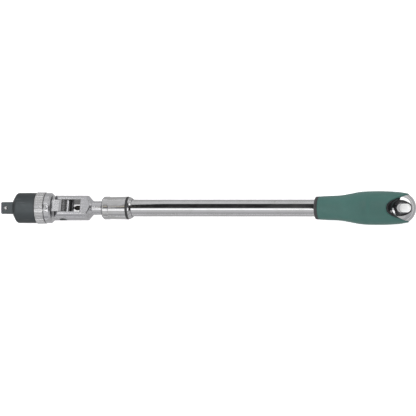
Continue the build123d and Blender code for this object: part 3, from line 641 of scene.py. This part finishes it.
# %% Measure the sleeve that came in
GRIP_WALL = 2.2 * MM
CORE_LIP = 1.1 * MM
GRIP_COLUMNS = 96
GAUGE_REACH = 1.0 * MM
GAUGE_INSET = 0.3 * MM
U_LEAD = 2 * MM
NARROWING = 1.15
SETTLING_PASSES = 12
GRIP_ROWS = 56
U_BLUNTNESS = 0.39
U_SPREAD = 6.2 * MM
sleeve_points = [point.co.copy() for point in frame["nodes"]["grip_sleeve"].data.vertices]
sleeve_low, sleeve_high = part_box("grip_sleeve")
cap_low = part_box("end_cap")[0]
u_front = cap_low.x - CORE_LIP
u_length = sleeve_high.x - u_front + 1.0 * MM
u_width = tube_radius + U_SPREAD
print(f"sleeve {(sleeve_high.x - sleeve_low.x) / MM:.1f} mm long, cut {u_length / MM:.1f} mm deep")


def widest_near(station):
    """Half width and half height of the plain sleeve close to a station."""
    width = height = 0.0
    for point in sleeve_points:
        if abs(point.x - station) < GAUGE_REACH:
            width = max(width, abs(point.y))
            height = max(height, abs(point.z - axis_height))
    return width, height


# The height is only whole in front of the cut, so behind it the last whole one narrows
# in step with the width.
gauge_step = 3.0 * MM
gauge_count = int((sleeve_high.x - sleeve_low.x) / gauge_step)
gauge = []
for step in range(gauge_count + 1):
    station = sleeve_low.x + GAUGE_INSET + step * gauge_step
    width, height = widest_near(station)
    if station > u_front - U_LEAD and gauge:
        height = gauge[-1][1] - NARROWING * max(0.0, gauge[-1][0] - width)
    gauge.append((width, height))
print("half widths along the sleeve, mm:", [round(width / MM, 1) for width, _ in gauge])


def sleeve_size(station):
    """Half width and half height at any station, between the gauged ones."""
    place = (station - sleeve_low.x - GAUGE_INSET) / gauge_step
    before = min(max(int(place), 0), gauge_count - 1)
    share = min(max(place - before, 0.0), 1.0)
    low, high = gauge[before], gauge[before + 1]
    return tuple(a + (b - a) * share for a, b in zip(low, high))


# %% Pull a ring of points along the bar
clear_selection()
width, height = sleeve_size(sleeve_low.x)
bpy.ops.mesh.primitive_circle_add(
    vertices=GRIP_COLUMNS,
    radius=width,
    location=(sleeve_low.x, 0, axis_height),
    rotation=(0, math.pi / 2, 0),
)
grip = bpy.context.object
bpy.ops.object.transform_apply(location=True, rotation=True, scale=True)
bpy.ops.object.mode_set(mode="EDIT")
bpy.ops.mesh.select_all(action="SELECT")
row_step = (sleeve_high.x - sleeve_low.x) / GRIP_ROWS
centre = Vector((0, 0, axis_height))
bpy.ops.transform.resize(value=(1, 1, height / width), center_override=centre)
for row in range(1, GRIP_ROWS + 1):
    last_width, last_height = width, height
    width, height = sleeve_size(sleeve_low.x + row * row_step)
    bpy.ops.mesh.extrude_region_move(TRANSFORM_OT_translate={"value": (row_step, 0, 0)})
    bpy.ops.transform.resize(
        value=(1, width / last_width, height / last_height), center_override=centre
    )
print(f"ring pulled into {GRIP_ROWS} rows of {GRIP_COLUMNS}")


# %% Slide the rows until the last one lies on the cut
def cut_station(across):
    """How far back the U lies at a distance from the middle of the grip."""
    return u_front + u_length * (abs(across) / u_width) ** (1 / U_BLUNTNESS)


grip_mesh = bmesh.from_edit_mesh(grip.data)
for point in grip_mesh.verts:
    width, height = sleeve_size(point.co.x)
    across, above = point.co.y / width, (point.co.z - axis_height) / height
    share = (point.co.x - sleeve_low.x) / (sleeve_high.x - sleeve_low.x)
    end = sleeve_high.x
    for _ in range(SETTLING_PASSES):
        end = min(sleeve_high.x, cut_station(sleeve_size(end)[0] * across))
    station = sleeve_low.x + share * (end - sleeve_low.x)
    width, height = sleeve_size(station)
    point.co = (station, width * across, axis_height + height * above)
bmesh.update_edit_mesh(grip.data)
bpy.ops.mesh.select_all(action="SELECT")
bpy.ops.mesh.normals_make_consistent(inside=False)
bpy.ops.mesh.vertices_smooth(factor=0.5, repeat=3, xaxis=False, yaxis=True, zaxis=True)
bpy.ops.object.mode_set(mode="OBJECT")

# %% Give it a wall and soft rims
apply_modifier(grip, "SOLIDIFY", thickness=GRIP_WALL, offset=-1, use_even_offset=True)
apply_modifier(
    grip,
    "BEVEL",
    width=0.7 * MM,
    segments=3,
    limit_method="ANGLE",
    angle_limit=math.radians(55),
    use_clamp_overlap=True,
)
grip = complete(grip, "grip_rubber", "handle", stands_for=["grip_sleeve"], smooth_angle=50)
grip.data.materials.clear()
grip.data.materials.append(green_rubber)

# %% [markdown]
# ## Two black rings
#
# A rubber ring sits in the groove behind the lock collar, and a moulded ring caps the front
# of the grip. Both are turned shapes, so a short profile is drawn once and spun round the
# bar. The rubber ring gets the fine parting line that its mould leaves round its outside,
# and the moulded ring gets a rolled lip and a shallow groove.


# %% Spin a profile round the bar
def spin_profile(profile, steps=96):
    """Shape a small ring of points to a section, given as stations and radii, and spin it."""
    clear_selection()
    stations, radii = zip(*profile)
    bpy.ops.mesh.primitive_circle_add(
        vertices=len(profile),
        radius=(max(radii) - min(radii)) / 2,
        location=(sum(stations) / len(profile), 0, axis_height + sum(radii) / len(profile)),
        rotation=(math.pi / 2, 0, 0),
    )
    piece = bpy.context.object
    bpy.ops.object.transform_apply(location=True, rotation=True, scale=True)
    bpy.ops.object.mode_set(mode="EDIT")
    mesh = bmesh.from_edit_mesh(piece.data)
    for point, (station, radius) in zip(mesh.verts, profile):
        point.co = (station, 0, axis_height + radius)
    bmesh.update_edit_mesh(piece.data)
    bpy.ops.mesh.select_all(action="SELECT")
    bpy.ops.mesh.spin(
        steps=steps, angle=2 * math.pi, center=(0, 0, axis_height), axis=(1, 0, 0), dupli=False
    )
    bpy.ops.mesh.select_all(action="SELECT")
    bpy.ops.mesh.remove_doubles(threshold=0.002 * MM)
    bpy.ops.mesh.normals_make_consistent(inside=False)
    bpy.ops.object.mode_set(mode="OBJECT")
    return piece


def inset_arc(centre_x, centre_r, radius, start, end, count):
    """Points on an arc; angles in degrees, 90 is straight out from the bar."""
    points = []
    for step in range(count):
        angle = math.radians(start + (end - start) * step / (count - 1))
        points.append((centre_x + radius * math.cos(angle), centre_r + radius * math.sin(angle)))
    return points


# %% Rubber ring in the collar's groove
seal_low, seal_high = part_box("collar_seal")
seal_radius = (seal_high.x - seal_low.x) / 2
seal_x = (seal_low.x + seal_high.x) / 2
seal_centre = seal_high.z - axis_height - seal_radius
PARTING = 0.12 * MM
INSIDE_BOX = 0.02 * MM
seal_profile = inset_arc(seal_x, seal_centre, seal_radius - PARTING, 95, 445, 22)
seal_profile += [(seal_x + PARTING, seal_centre + seal_radius - INSIDE_BOX)]
seal_profile += [(seal_x - PARTING, seal_centre + seal_radius - INSIDE_BOX)]
seal = complete(spin_profile(seal_profile), "seal_ring", "collar", ["collar_seal"])
seal.data.materials.clear()
seal.data.materials.append(black_rubber)

# %% Moulded ring in front of the grip
nose_low, nose_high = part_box("grip_front_ring")
nose_radius = nose_high.z - axis_height
nose_bore = tube_radius + 0.03 * MM
LIP = 1.1 * MM
NOSE_WALL_AT_LIP = 1.3 * MM
GROOVE_DEPTH = 0.25 * MM
GROOVE_FRONT = 1.2 * MM
GROOVE_REAR = 0.4 * MM
GROOVE_FLANK = 0.2 * MM
nose_back = nose_high.x - INSIDE_BOX
groove_radius = nose_radius - GROOVE_DEPTH
nose_profile = [(nose_back, nose_bore), (nose_low.x, nose_bore)]
nose_profile += [(nose_low.x, tube_radius + NOSE_WALL_AT_LIP)]
nose_profile += inset_arc(nose_low.x + LIP, nose_radius - LIP, LIP, 165, 95, 7)
nose_profile += [(nose_high.x - GROOVE_FRONT, nose_radius)]
nose_profile += [(nose_high.x - GROOVE_FRONT + GROOVE_FLANK, groove_radius)]
nose_profile += [(nose_high.x - GROOVE_REAR - GROOVE_FLANK, groove_radius)]
nose_profile += [(nose_high.x - GROOVE_REAR, nose_radius), (nose_back, nose_radius)]
nose = complete(spin_profile(nose_profile), "grip_nose_ring", "handle", ["grip_front_ring"])
nose.data.materials.clear()
nose.data.materials.append(black_plastic)

# %% [markdown]
# ## Dressing the rest
#
# The other parts came in with the shape they need, so they only get a finish. Each part is
# looked up by name. A part that is not listed is plain ground steel, as springs, pins and
# balls are.

# %% Dress the parts that keep their own shape
finish_of = {
    "outer_tube": polished_chrome,
    "end_cap": polished_chrome,
    "cap_pin": satin_highlight_steel,
    "flex_plunger": plunger_shade_steel,
    "drive_ball": polished_chrome,
    "selector_stop_pin": polished_chrome,
    "lock_collar": turned_chrome,
    "collar_end_nut": turned_chrome,
    "selector_ring": turned_chrome,
    "fork_shank": forged_chrome["fork"],
    "knuckle": forged_chrome["tongue"],
    "drive_body": black_oxide,
    "pivot_pin": black_oxide,
    "guide_bush": oiled_bronze,
    "thrust_washer": oiled_bronze,
    "grip_front_ring": black_plastic,
    "handle_core": black_plastic,
    "collar_seal": black_rubber,
    "grip_sleeve": green_rubber,
}
for node_name, node in frame["nodes"].items():
    paint = finish_of.get(node_name, ground_steel)
    node.data.materials.clear()
    node.data.materials.append(paint)
print(f"{len(frame['nodes'])} parts dressed")
